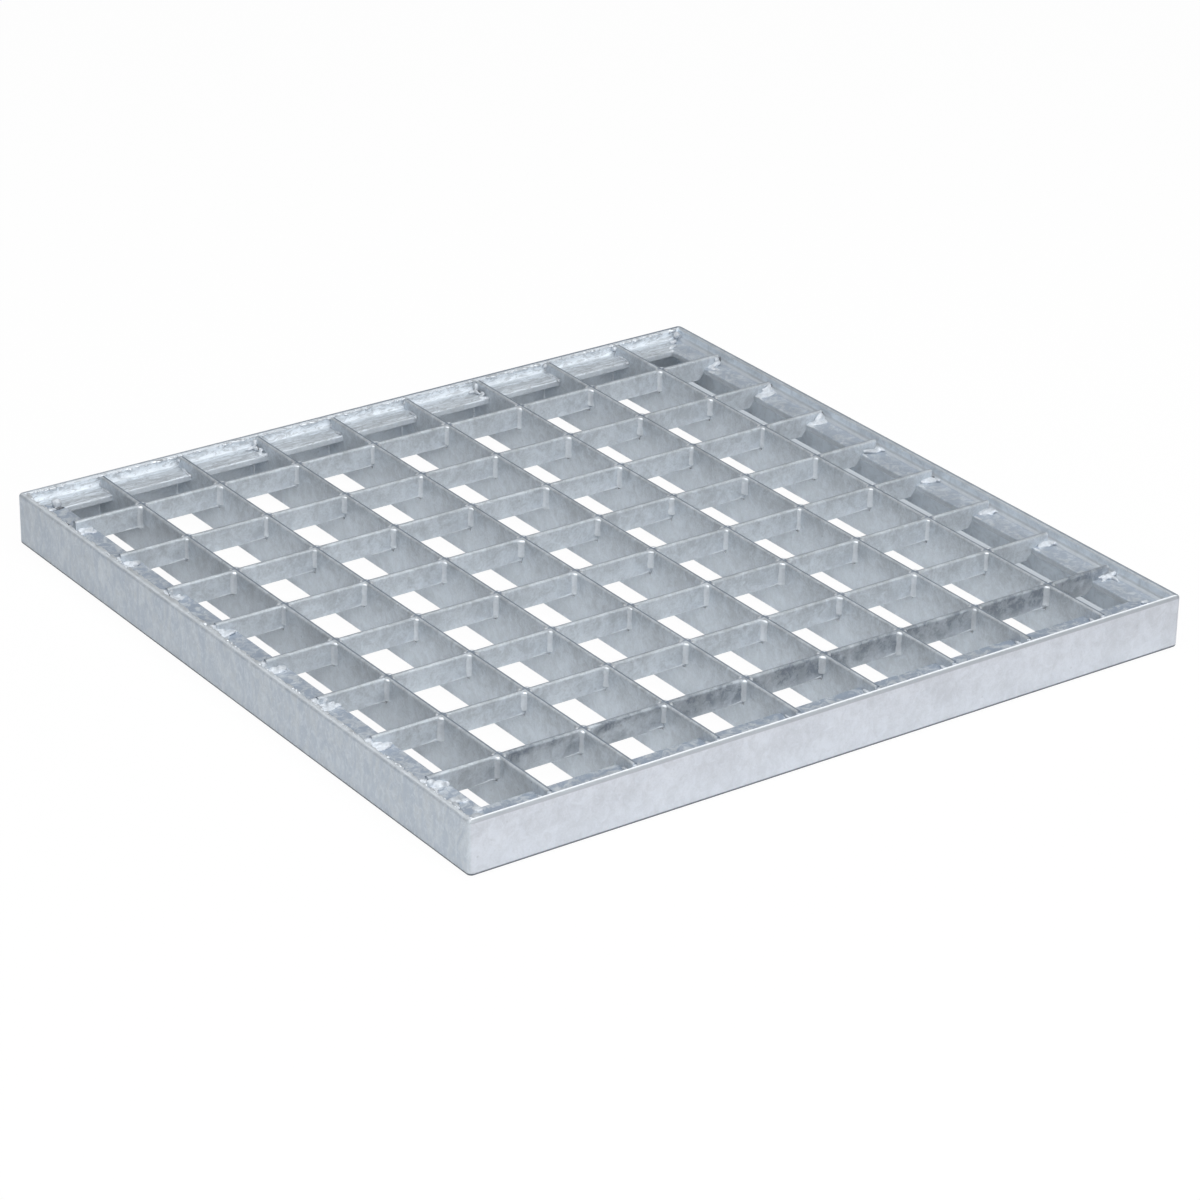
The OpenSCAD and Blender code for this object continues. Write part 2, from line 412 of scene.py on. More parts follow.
def edging_marks(s, place, zinc, colour):
    """Zinc, thin and clouded, with a painted highlight on the rim's top, painted light in the
    hollow and below the rib, and painted shade on the rim's edge, in the root and along the bottom.

    Also returns where it is chalky rather than bright: on the rim's top, in the far hollow
    and along the bottom edge.
    """
    x, y, height = s.split(place)
    inward, front, far, left, right = edging_sides(s, x, y)
    # dark zinc: for the real blotches on the rib, and for painted shade on the rim's edge and along
    # the bottom
    dark = bpy.context.scene.grating_finish.stain_and_shade_colour
    patchy = s.remap(s.noise(place, 200, 4, 0.65, 1.0), 0.3, 0.62, 0.45, 1.0)
    crown = s.remap(height, 18.9 * MM, 19.3 * MM)

    # painted highlight on the rim's flat top: strongest in front, less to the left and at the far
    # side
    lip = s.times(s.band(inward, 0.8 * MM, 2.3 * MM, 0.2 * MM),
                  s.remap(height, 19.2 * MM, 19.7 * MM))
    rim_highlight = s.times(lip, s.plus(front, s.times(left, 0.3), s.times(far, 0.2)))
    zinc = s.mix(s.times(rim_highlight, s.math("MAXIMUM", patchy, front)), zinc, RIM_HIGHLIGHT)
    # painted shade along its outer edge, at the far side and to the right, where the rounded edge
    # turns away from the lamps, and on the rounded edge in front
    # painted shade on the rim's outer edge
    edge = s.times(s.remap(inward, 1.45 * MM, 2.0 * MM, 1.0, 0.0), crown)
    far_edge_shade = s.times(far, s.remap(x, CAD_LOW.x, CAD_HIGH.x * 0.4, 0.35, 0.9))
    zinc = s.mix(s.times(edge, s.plus(far_edge_shade, s.times(right, 0.62))), zinc,
                 tinted(dark, 1.5))
    rounding_shade = s.times(s.remap(inward, 0.9 * MM, 1.3 * MM, 1.0, 0.0), crown)
    zinc = s.mix(s.times(rounding_shade, front, 0.8), zinc, tinted(colour, 0.62))

    # painted light in the hollow above the rib and on the web below the rib, where these lie in
    # shade, and painted shade in the hollow's root
    hollow = s.times(s.band(inward, 2.45 * MM, 3.3 * MM, 0.5 * MM),
                     s.band(height, 16.2 * MM, 19.3 * MM, 0.5 * MM))
    # painted light in the hollow, stronger to the right and at the far side
    bright = s.plus(s.times(right, 0.55), s.times(far, 0.4), 0.35)
    zinc = s.mix(s.times(hollow, patchy, bright), zinc, tinted(colour, 1.5))
    # painted shade in the crease at the rib's root, on the right
    root = s.times(s.band(inward, 2.9 * MM, 4.6 * MM, 0.5 * MM),
                   s.band(height, 15.8 * MM, 17.2 * MM, 0.5 * MM))
    zinc = s.mix(s.times(root, right, 0.7), zinc, tinted(colour, 0.8))
    # painted light on the web below the right-hand rib, which lies in the rib's shade
    under = s.times(s.band(inward, 2.3 * MM, 2.9 * MM, 0.2 * MM),
                    s.remap(height, 13.4 * MM, 14.0 * MM, 1.0, 0.0))
    zinc = s.mix(s.times(under, right, patchy), zinc, tinted(colour, 1.4))

    # the rib's top: lengthwise streaks and crust at the far side, dull blotches elsewhere
    rib = s.times(s.band(inward, 4.4 * MM, 13 * MM, 0.6 * MM),
                  s.band(height, 15.7 * MM, 16.2 * MM, 0.2 * MM))
    far_rib = s.times(s.plus(rib, hollow), far)
    streaks = s.noise(s.stretch(place, (0.06, 1, 1)), 900, 3, 0.6)
    zinc = s.mix(s.times(far_rib, s.remap(streaks, 0.42, 0.6)), zinc, tinted(colour, 1.25))
    crust = s.noise(s.stretch(place, (0.35, 1, 1)), 520, 5, 0.72, 1.4)
    zinc = s.mix(s.times(far_rib, s.remap(crust, 0.46, 0.60), 0.65), zinc,
                 tinted(colour, 0.66))
    blotches = s.remap(s.noise(place, 260, 5, 0.7, 1.2), 0.38, 0.58)
    dull = s.plus(s.times(left, 0.8), s.times(front, 0.9), s.times(right, 0.6))
    zinc = s.mix(s.times(rib, dull, blotches), zinc, tinted(dark, 2.1))

    # outer faces: clouds and ripples to the left, painted light paler low down as if lit from the
    # white floor, and a painted contact shadow along the bottom
    outside = s.math("LESS_THAN", inward, 0.4 * MM)
    outer_left = s.times(outside, left)
    clouds = s.noise(s.stretch(place, (1, 1, 0.45)), 190, 6, 0.72, 1.2)
    zinc = s.mix(s.times(outer_left, s.remap(clouds, 0.38, 0.62), 0.85), zinc,
                 tuple(c * share for c, share in zip(colour, LEFT_CLOUD)))
    ripples = s.noise(s.stretch(place, (1, 1, 0.7)), 480, 5, 0.75, 0.8)
    zinc = s.mix(s.times(outer_left, s.remap(ripples, 0.48, 0.62), 0.5), zinc,
                 tinted(colour, 1.18))
    zinc = s.mix(s.times(outside, front), zinc, FRONT_TINT, "MULTIPLY")
    # painted light from the floor, low on the outer faces
    low = s.times(outside, s.remap(height, 2 * MM, 13 * MM, 0.17, 0.0))
    zinc = s.mix(low, zinc, tinted(colour, 1.3))
    foot_shade = s.times(s.math("LESS_THAN", inward, 1.1 * MM),
                   s.remap(height, 0.8 * MM, 1.3 * MM, 1.0, 0.0))
    zinc = s.mix(s.times(foot_shade, 0.95), zinc, tinted(dark, 0.5))
    chalky = s.math("ADD", rim_highlight, s.times(hollow, far), clamp=True)
    return zinc, s.math("ADD", chalky, foot_shade, clamp=True)


def slit_shade_material(name, colour):
    """Dull dark material, mottled and grainy, for the painted shade in the slits of the welds."""
    material = bpy.data.materials.new(name)
    material.use_nodes = True
    s = NodeSheet(material.node_tree)
    place = s.add("ShaderNodeTexCoord").outputs["Object"]
    grain = s.noise(place, 1500, 3, 0.6)
    shader = s.add("ShaderNodeBsdfPrincipled")
    s.join(s.mix(s.remap(grain, 0.35, 0.65), tinted(colour, 0.7), tinted(colour, 1.5)),
           shader.inputs["Base Color"])
    s.join(s.remap(grain, 0.3, 0.7, 0.6, 0.8), shader.inputs["Roughness"])
    s.join(s.bump(grain, 0.6, 0.1 * MM), shader.inputs["Normal"])
    s.join(shader.outputs[0], s.add("ShaderNodeOutputMaterial").inputs["Surface"])
    return material


# ---------------------------------------------------------------- mesh helpers

# a seed of its own for each piece with random shapes
SEEDS = {"zinc_fillets": 11, "zinc_drips": 23, "end_welds": 37, "corner_welds": 41,
         "rim_zinc": 53, "web_seams": 61, "slit_shade": 71}


def add_piece(name, mesh_data, material):
    """Makes an object of the mesh data, with smooth faces, that rides on the panel."""
    mesh = bpy.data.meshes.new(name)
    mesh_data.to_mesh(mesh)
    mesh_data.free()
    mesh.polygons.foreach_set("use_smooth", [True] * len(mesh.polygons))
    mesh.materials.append(bpy.data.materials[material])
    piece = bpy.data.objects.new(name, mesh)
    bpy.context.scene.collection.objects.link(piece)
    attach(piece, "root")


def loft(mesh_data, rings):
    """Closed skin through rings that have the same number of points."""
    made = [[mesh_data.verts.new(p) for p in ring] for ring in rings]
    count = len(made[0])
    for low, high in zip(made, made[1:]):
        for k in range(count):
            n = (k + 1) % count
            mesh_data.faces.new((low[k], low[n], high[n], high[k]))
    mesh_data.faces.new(list(reversed(made[0])))
    mesh_data.faces.new(made[-1])


def side_point(side, inward, along, up):
    """Point given by its distance inward from one outside face, along that face and up."""
    if side == "left":
        return Vector((CAD_LOW.x + inward, along, up))
    if side == "right":
        return Vector((CAD_HIGH.x - inward, along, up))
    if side == "front":
        return Vector((along, CAD_LOW.y + inward, up))
    return Vector((along, CAD_HIGH.y - inward, up))


# most that a lump leans, in radians, and share by which its skin swells and dips
LUMP_TILT, LUMP_SWELL = 0.35, 0.32


def add_lump(mesh_data, side, centre, radii, rng, fine=2):
    """A knobbly drop of metal; centre and radii are inward, along and up."""
    inward, along, up = radii
    across = (inward, along) if side in ("left", "right") else (along, inward)
    turn = Matrix.Rotation(rng.uniform(-LUMP_TILT, LUMP_TILT), 4, Vector(
        (rng.uniform(-1, 1), rng.uniform(-1, 1), rng.uniform(-1, 1))).normalized())
    place = (Matrix.Translation(side_point(side, *centre)) @ turn
             @ Matrix.Diagonal((*across, up, 1)))
    wander = Vector((rng.uniform(0, 50), rng.uniform(0, 50), rng.uniform(0, 50)))
    made = bmesh.ops.create_icosphere(mesh_data, subdivisions=fine, radius=1)
    for vert in made["verts"]:
        swell = 1 + LUMP_SWELL * noise.noise(vert.co * 1.3 + wander)
        vert.co = place @ (vert.co * swell)


def keep_inside(point, skin):
    """The point moved inside the panel's own box, a skin's depth below its faces."""
    return Vector([min(max(value, low + skin), high - skin)
                   for value, low, high in zip(point, CAD_LOW, CAD_HIGH)])


# roughness left on fused zinc and on welds, and its coarse and fine waves per metre
RUN_ROUGH, WELD_ROUGH = 0.1 * MM, 0.16 * MM
COARSE_WAVES, FINE_WAVES = 900, 2300


def fused_piece(name, mesh_data, material, rough):
    """Fuses overlapping lumps into one skin, roughens it and adds it to the edging."""
    zinc = bpy.context.scene.grating_zinc
    mesh = bpy.data.meshes.new(name + "_lumps")
    mesh_data.to_mesh(mesh)
    mesh_data.free()
    lumps = bpy.data.objects.new(name + "_lumps", mesh)
    bpy.context.scene.collection.objects.link(lumps)
    fuse = lumps.modifiers.new("fuse", "REMESH")
    fuse.mode = "VOXEL"
    fuse.voxel_size = zinc.grain
    fused = bmesh.new()
    fused.from_object(lumps, bpy.context.evaluated_depsgraph_get())
    bpy.data.objects.remove(lumps)
    bpy.data.meshes.remove(mesh)
    if not fused.faces:
        raise RuntimeError(f"{name} came out empty")
    for vert in fused.verts:
        swell = noise.noise(vert.co * COARSE_WAVES) + 0.5 * noise.noise(vert.co * FINE_WAVES)
        vert.co = keep_inside(vert.co + vert.normal * swell * rough, zinc.skin)
    add_piece(name, fused, material)


# ---------------------------------------------------------------- zinc in the crossings

# down a fillet: share of its length, share of its leg, and 1 for hollow to -1 for full
FILLET_RUN = ((0.00, 0.45, -0.6), (0.02, 0.78, -0.6), (0.06, 1.02, -0.5), (0.12, 1.04, -0.2),
              (0.18, 0.98, 0.4), (0.28, 0.96, 0.8), (0.45, 0.95, 0.9), (0.62, 0.96, 0.9),
              (0.78, 1.00, 0.8), (0.88, 1.06, 0.4), (0.95, 0.95, -0.2), (1.00, 0.40, -0.4))
FILLET_SIDES = 5
FILLET_WOBBLE = 0.34
# depth to which a fillet is sunk into the bars
FILLET_SUNK = 0.15 * MM


def fillet_rings(corner, side_x, side_y, top, length, leg, rng):
    """Rings of one upright zinc fillet in the corner of a crossing."""
    rings = []
    wander = rng.uniform(0, 100)
    lean = rng.uniform(0.85, 1.15)
    for share, width, hollow in FILLET_RUN:
        wobble = 1 + FILLET_WOBBLE * noise.noise((wander, share * 4, 0))
        a, b = leg * width * wobble * lean, leg * width * wobble / lean
        ring = [(a, -FILLET_SUNK), (-FILLET_SUNK, -FILLET_SUNK), (-FILLET_SUNK, b)]
        for k in range(FILLET_SIDES + 1):
            t = k / FILLET_SIDES
            turn = math.pi / 2 * t
            flat = Vector((a * t, b * (1 - t)))
            round_in = Vector((a * (1 - math.cos(turn)), b * (1 - math.sin(turn))))
            ring.append(tuple(flat.lerp(round_in, hollow)))
        z = top - share * length
        rings.append([(corner[0] + side_x * u, corner[1] + side_y * v, z) for u, v in ring])
    if side_x * side_y > 0:
        rings = [list(reversed(ring)) for ring in rings]
    return rings


class ZincFillets(Operator):
    """Zinc drawn up into the four corners of every crossing, with a bead on top"""
    bl_idname = "grating.zinc_fillets"
    bl_label = "Zinc in the crossings"

    def execute(self, context):
        sizes, zinc = context.scene.grating_sizes, context.scene.grating_zinc
        rng = random.Random(SEEDS["zinc_fillets"])
        mesh_data = bmesh.new()
        half = sizes.bar_t / 2
        for x, y in crossings(sizes):
            for side_x in (-1, 1):
                for side_y in (-1, 1):
                    leg = zinc.fillet_leg * rng.uniform(0.72, 1.22)
                    length = sizes.cross_h + rng.uniform(-1.6, 0.7) * MM
                    loft(mesh_data, fillet_rings(
                        (x + side_x * half, y + side_y * half), side_x, side_y,
                        CAD_HIGH.z - zinc.skin, length, leg, rng))
        bmesh.ops.recalc_face_normals(mesh_data, faces=mesh_data.faces)
        add_piece("zinc_fillets", mesh_data, "zinc_run")
        return {"FINISHED"}


# along a drip: share of its length and share of its radius
DRIP_SHARES = ((0.0, 1.15), (0.15, 1.0), (0.35, 0.85), (0.55, 0.75), (0.75, 0.6), (0.9, 0.4),
               (1.0, 0.12))
DRIP_SIDES = 8
DRIP_WOBBLE = 0.35
# longest drip to the left and to the right of a bearing bar, in millimetres
LONGEST_DRIPS = ((-1, 11), (1, 6))


def drip_rings(x, y, side, length, edge, wander, sizes, zinc):
    """Rings of one drip that lies under a cross bar, from the bearing bar outward."""
    rings = []
    for share, width in DRIP_SHARES:
        bulge = 1 + DRIP_WOBBLE * noise.noise((wander, share * 5, 0))
        radius = zinc.drip * width * bulge
        across = sizes.bar_t / 2 + radius * 0.45
        centre_x = x + side * (sizes.bar_t / 2 - 0.2 * MM + share * length)
        turns = [2 * math.pi * k / DRIP_SIDES for k in range(DRIP_SIDES)]
        rings.append([(centre_x, y + across * math.sin(turn),
                       edge + radius * (0.5 + math.cos(turn))) for turn in turns])
    if side > 0:
        rings = [list(reversed(ring)) for ring in rings]
    return rings


class ZincDrips(Operator):
    """Zinc that ran along the lower edge of the cross bars, beside every crossing"""
    bl_idname = "grating.zinc_drips"
    bl_label = "Drips under the cross bars"

    def execute(self, context):
        sizes, zinc = context.scene.grating_sizes, context.scene.grating_zinc
        rng = random.Random(SEEDS["zinc_drips"])
        mesh_data = bmesh.new()
        edge = CAD_HIGH.z - sizes.cross_h
        for x, y in crossings(sizes):
            for side, longest in LONGEST_DRIPS:
                length = rng.uniform(0.55, 1.0) * longest * MM
                wander = rng.uniform(0, 100)
                loft(mesh_data, drip_rings(x, y, side, length, edge, wander, sizes, zinc))
        bmesh.ops.recalc_face_normals(mesh_data, faces=mesh_data.faces)
        add_piece("zinc_drips", mesh_data, "zinc_run")
        return {"FINISHED"}


# ---------------------------------------------------------------- welds at the bar ends

# lumps in millimetres from a bar's end: inward from the outside face, along the edging
# (minus is toward the front or the left), up from the floor, then the three radii;
# first the ones that several forms share
FAR_SEAM = (8.5, 1.2, 16.3, 3.0, 0.8, 0.7)
SHORT_SEAM = (8.0, 1.2, 16.3, 3.0, 0.8, 0.7)
BROAD_PAD = (8.2, -2.0, 16.0, 4.2, 2.4, 0.8)
RIM_KNOB = (4.2, 0.1, 17.5, 2.2, 1.7, 2.0)
NEAR_LINE = (8.6, -1.1, 16.1, 4.0, 0.6, 0.5)
FAR_LINE = (8.6, 1.1, 16.1, 4.0, 0.6, 0.5)
WELD_FORMS = {
    "fan": ((8.6, -2.1, 16.2, 4.4, 2.3, 0.9), (7.2, -1.5, 17.1, 2.8, 1.2, 1.8),
            (6.2, -1.1, 18.1, 1.4, 0.8, 1.7), (11.0, -2.0, 15.9, 2.2, 1.7, 0.6),
            (8.4, 1.2, 16.3, 3.2, 0.8, 0.7), (12.6, -3.0, 15.75, 0.6, 3.0, 0.45),
            (12.6, 3.6, 15.75, 0.5, 2.8, 0.4)),
    "fan_rough": ((8.4, -1.5, 16.4, 3.6, 1.2, 0.9), (6.6, -1.1, 17.8, 1.2, 0.7, 1.8),
                  (10.6, -3.6, 15.9, 1.3, 1.8, 0.7), (12.4, -6.0, 15.7, 0.8, 2.2, 0.6),
                  (9.2, -5.0, 16.0, 0.7, 1.6, 0.5), (8.4, 1.2, 16.3, 3.0, 0.8, 0.7)),
    "lumps": ((8.0, -1.6, 16.4, 3.6, 1.6, 0.9), (5.6, -2.0, 16.5, 1.2, 1.9, 0.9),
              (4.6, -3.4, 16.8, 0.8, 1.1, 0.7), (6.8, -3.3, 16.3, 1.3, 0.8, 0.7),
              (12.5, -3.2, 15.8, 0.7, 2.6, 0.5), SHORT_SEAM),
    "star": ((6.2, -2.2, 16.6, 1.5, 1.5, 1.0), (5.7, -4.6, 16.4, 0.5, 2.4, 0.6),
             (8.6, -2.6, 16.3, 2.6, 0.6, 0.6), (4.2, -2.0, 17.2, 1.2, 0.8, 0.9),
             (8.0, -1.2, 16.6, 2.6, 0.8, 1.0), SHORT_SEAM),
    "patch": ((9.2, -2.6, 16.2, 2.4, 2.2, 0.8), (7.0, -1.3, 16.8, 2.0, 0.9, 1.3),
              RIM_KNOB, (11.6, -1.9, 16.0, 1.2, 1.1, 0.6), FAR_SEAM, BROAD_PAD),
    "open_patch": ((9.0, -2.8, 16.2, 1.9, 1.7, 0.8), (10.6, -4.2, 16.0, 1.4, 1.1, 0.5),
                   (7.6, -1.5, 16.6, 1.6, 1.0, 1.0), FAR_SEAM, BROAD_PAD,
                   (3.6, -1.6, 17.6, 1.2, 1.8, 1.0)),
    "lump": ((9.8, -2.8, 16.5, 1.9, 1.6, 1.2), (7.4, -1.6, 16.5, 1.8, 1.1, 0.9),
             RIM_KNOB, (12.0, -1.5, 16.0, 0.9, 0.9, 0.6), FAR_SEAM, BROAD_PAD),
    "bead": ((6.9, -1.0, 17.9, 0.9, 0.8, 1.9), (6.4, -1.2, 16.6, 1.4, 1.1, 1.0),
             RIM_KNOB, (9.4, -1.6, 16.4, 1.3, 0.9, 0.8), FAR_SEAM, BROAD_PAD),
    "twist": ((8.2, -1.3, 18.2, 1.2, 0.7, 1.1), (10.2, -1.7, 17.0, 1.5, 0.8, 0.8),
              (12.0, -2.4, 16.2, 1.3, 1.1, 0.6), RIM_KNOB,
              (7.0, -1.2, 16.6, 1.8, 0.9, 1.0), FAR_SEAM, BROAD_PAD),
    "large": ((8.6, -2.6, 16.7, 2.6, 2.2, 1.5), (6.0, -1.5, 17.6, 1.8, 1.2, 1.7),
              (11.4, -2.0, 16.2, 1.5, 1.5, 0.8), RIM_KNOB,
              (5.2, -5.2, 16.8, 1.4, 2.0, 1.0), FAR_SEAM, BROAD_PAD),
    "plain": (NEAR_LINE, FAR_LINE, (4.2, -0.7, 17.0, 0.8, 0.7, 1.3)),
    "dot": (NEAR_LINE, FAR_LINE, (12.7, -1.5, 15.7, 0.8, 0.9, 0.7),
            (4.0, -0.8, 18.4, 0.8, 0.8, 1.0)),
    "top_dot": (NEAR_LINE, FAR_LINE, (12.7, -1.5, 15.7, 0.9, 1.0, 0.8),
                (3.6, -1.3, 18.7, 1.0, 1.2, 1.1)),
    "rough": ((4.4, -1.6, 17.8, 1.5, 1.2, 1.7), (6.8, -2.6, 16.8, 1.9, 0.8, 1.0),
              (8.9, -1.8, 16.6, 1.6, 0.9, 1.0), (10.9, -3.4, 16.2, 1.6, 1.2, 0.7),
              (5.6, -4.4, 16.6, 0.8, 1.7, 0.7), (12.6, -1.8, 15.9, 0.9, 1.6, 0.8),
              FAR_LINE),
    "specks": ((3.4, 0.0, 18.2, 1.3, 1.0, 1.4), (4.6, -1.9, 16.6, 0.7, 0.9, 0.6),
               (3.2, 2.1, 18.3, 0.7, 0.7, 0.8), (6.5, 1.2, 16.4, 2.0, 0.7, 0.8),
               (7.5, -1.2, 16.3, 2.4, 0.7, 0.6)),
}
# the form of each bar's weld, from front to far and from left to right
WELD_PLAN = {
    "right": ("star", "lumps", "lumps", "lumps", "lumps", "fan", "fan", "fan_rough"),
    "left": ("large", "patch", "twist", "lump", "patch", "bead", "lump", "open_patch"),
    "far": ("plain", "dot", "rough", "plain", "dot", "rough", "top_dot", "top_dot"),
    "front": ("specks",) * 8,
}


class EndWelds(Operator):
    """Irregular welds where the bars meet the rib and the web"""
    bl_idname = "grating.end_welds"
    bl_label = "Welds at the bar ends"

    def execute(self, context):
        rows = bars_by_side(context.scene.grating_sizes)
        mesh_data = bmesh.new()
        rng = random.Random(SEEDS["end_welds"])
        for side, forms in WELD_PLAN.items():
            for k, bar in enumerate(rows[side]):
                for inward, along, up, *radii in WELD_FORMS[forms[k % len(forms)]]:
                    centre = (inward + rng.uniform(-0.25, 0.25), along * rng.uniform(0.9, 1.1),
                              up + rng.uniform(-0.12, 0.12))
                    place = (centre[0] * MM, bar + centre[1] * MM, centre[2] * MM)
                    size = [r * rng.uniform(0.88, 1.12) * MM for r in radii]
                    add_lump(mesh_data, side, place, size, rng)
        fused_piece("end_welds", mesh_data, "zinc_weld", WELD_ROUGH)
        return {"FINISHED"}


# lumps of the corners: side, then inward, along, up and three radii, in millimetres
CORNER_LUMPS = (
    ("left", 10.3, 139.0, 17.5, 1.9, 2.1, 1.9),
    ("left", 6.5, 137.0, 16.3, 3.0, 1.2, 0.6), ("left", 3.6, 126.0, 17.0, 1.0, 6.0, 1.2),
    ("left", 7.9, -129.5, 16.3, 2.4, 2.6, 0.9), ("left", 5.6, -133.5, 16.6, 1.5, 2.8, 1.1),
    ("left", 10.8, -131.0, 16.1, 1.8, 1.4, 0.6), ("left", 8.2, -142.0, 16.2, 2.2, 2.4, 0.7),
    ("left", 4.2, -144.5, 17.0, 1.4, 1.4, 1.2), ("left", 11.0, -138.0, 16.1, 1.8, 2.2, 0.6),
    ("right", 4.8, 145.6, 18.2, 1.6, 1.8, 1.3), ("right", 8.0, 143.2, 16.6, 1.8, 1.0, 0.9),
    ("right", 10.6, 140.0, 16.1, 2.4, 0.8, 0.6), ("right", 12.9, 137.3, 15.4, 0.8, 0.9, 1.2),
    ("right", 5.0, -145.0, 16.8, 1.2, 1.4, 1.1), ("right", 9.0, -141.0, 16.2, 2.2, 0.9, 0.6),
)


class CornerWelds(Operator):
    """Weld metal in the four corners of the edging"""
    bl_idname = "grating.corner_welds"
    bl_label = "Welds in the corners"

    def execute(self, context):
        mesh_data = bmesh.new()
        rng = random.Random(SEEDS["corner_welds"])
        for side, inward, along, up, *radii in CORNER_LUMPS:
            add_lump(mesh_data, side, (inward * MM, along * MM, up * MM),
                     [r * MM for r in radii], rng)
        fused_piece("corner_welds", mesh_data, "zinc_weld", WELD_ROUGH)
        return {"FINISHED"}


# beads along the rim: side, spacing in millimetres, share of them kept, and their smallest
# and largest radius in millimetres
RIM_BEADS = (("far", 1.1, 0.85, 0.55, 1.0), ("left", 1.0, 0.95, 0.55, 1.15),
             ("front", 2.6, 0.35, 0.30, 0.50), ("right", 3.4, 0.25, 0.28, 0.45))
# a stretch of the rim where the beads are thicker: from, to, and how many times
THICK_RIM = {"left": (20 * MM, 85 * MM, 1.7)}
# bare length of the rim at each corner
RIM_BARE = 3 * MM


class RimZinc(Operator):
    """Rough beads of zinc along the inside of the rim"""
    bl_idname = "grating.rim_zinc"
    bl_label = "Beads along the rim"

    def execute(self, context):
        mesh_data = bmesh.new()
        rng = random.Random(SEEDS["rim_zinc"])
        for side, spacing, kept, small, large in RIM_BEADS:
            half = (PANEL.x if side in ("front", "far") else PANEL.y) / 2 - RIM_BARE
            count = int(2 * half / (spacing * MM))
            for k in range(count):
                along = -half + 2 * half * k / count
                swell = 0.5 + 0.5 * noise.noise((along * 60, len(side), 0))
                if rng.random() > kept * (0.6 + 0.6 * swell):
                    continue
                radius = rng.uniform(small, large) * (0.5 + 1.1 * swell ** 2)
                if side in THICK_RIM:
                    start, end, thicker = THICK_RIM[side]
                    if start < along < end:
                        radius *= thicker
                centre = (rng.uniform(1.9, 2.8) * MM, along,
                          CAD_HIGH.z - rng.uniform(0.3, 0.9) * MM)
                size = [radius * rng.uniform(0.8, 1.1) * MM, radius * rng.uniform(1.0, 2.2) * MM,
                        radius * rng.uniform(0.8, 1.2) * MM]
                add_lump(mesh_data, side, centre, size, rng, 1)
        fused_piece("rim_zinc", mesh_data, "zinc_run", RUN_ROUGH)
        return {"FINISHED"}


# lumps of one seam, the height of the lowest, how much shorter than the rib's height their
# run is, and how far their middles lie off the web
SEAM_LUMPS = 9
SEAM_FOOT, SEAM_SHORT, SEAM_OFF = 1.2 * MM, 4 * MM, 0.1 * MM


class WebSeams(Operator):
    """Thin upright seams where the bearing bars meet the web below the rib"""
    bl_idname = "grating.web_seams"
    bl_label = "Seams below the rib"

    def execute(self, context):
        sizes = context.scene.grating_sizes
        mesh_data = bmesh.new()
        rng = random.Random(SEEDS["web_seams"])
        for bar in bearing_bars(sizes):
            for side in ("front", "far"):
                for hand in (-1, 1):
                    for k in range(SEAM_LUMPS):
                        up = SEAM_FOOT + (sizes.rib_top - SEAM_SHORT) * k / (SEAM_LUMPS - 1)
                        radius = rng.uniform(0.45, 0.62) * MM
                        add_lump(mesh_data, side,
                                 (sizes.web_t + SEAM_OFF, bar + hand * sizes.bar_t / 2, up),
                                 (radius, radius, 1.3 * MM), rng, 1)
        fused_piece("web_seams", mesh_data, "zinc_run", RUN_ROUGH)
        return {"FINISHED"}


# painted shade: dark lumps in the weld slits at the bar ends: side, number of the bar from
# the front or the left, then inward, along and up of its middle and its three radii, in millimetres
SHADED_SLITS = (
    ("right", 7, 5.3, -1.2, 18.0, 0.35, 0.6, 1.4), ("right", 6, 5.3, -1.2, 17.8, 0.45, 0.6, 1.6),
    ("right", 5, 5.3, -1.2, 17.8, 0.45, 0.7, 1.7), ("right", 5, 7.9, -2.2, 16.9, 0.5, 0.4, 0.4),
    ("right", 3, 5.2, -1.6, 17.2, 0.5, 0.6, 0.6), ("left", 7, 3.4, 0.8, 18.4, 0.4, 2.4, 0.9),
    ("left", 5, 5.6, -1.3, 17.4, 0.4, 0.5, 1.3), ("left", 7, 9.8, 20.2, 16.2, 2.2, 0.7, 0.5),
    ("far", 2, 7.6, -2.2, 17.1, 1.5, 0.35, 0.5), ("far", 5, 7.6, -2.2, 17.1, 1.5, 0.35, 0.5))


class SlitShade(Operator):
    """Dark lumps of painted shade in the slits beside some of the welds"""
    bl_idname = "grating.weld_slag"
    bl_label = "Slag in the weld slits"

    def execute(self, context):
        rows = bars_by_side(context.scene.grating_sizes)
        mesh_data = bmesh.new()
        rng = random.Random(SEEDS["slit_shade"])
        for side, k, inward, along, up, *radii in SHADED_SLITS:
            bar = rows[side][k % len(rows[side])]
            add_lump(mesh_data, side, (inward * MM, bar + along * MM, up * MM),
                     [r * MM for r in radii], rng)
        skin = context.scene.grating_zinc.skin
        for vert in mesh_data.verts:
            vert.co = keep_inside(vert.co, skin)
        add_piece("slit_shade", mesh_data, "slit_shade")
        return {"FINISHED"}


# ---------------------------------------------------------------- finish of the steel

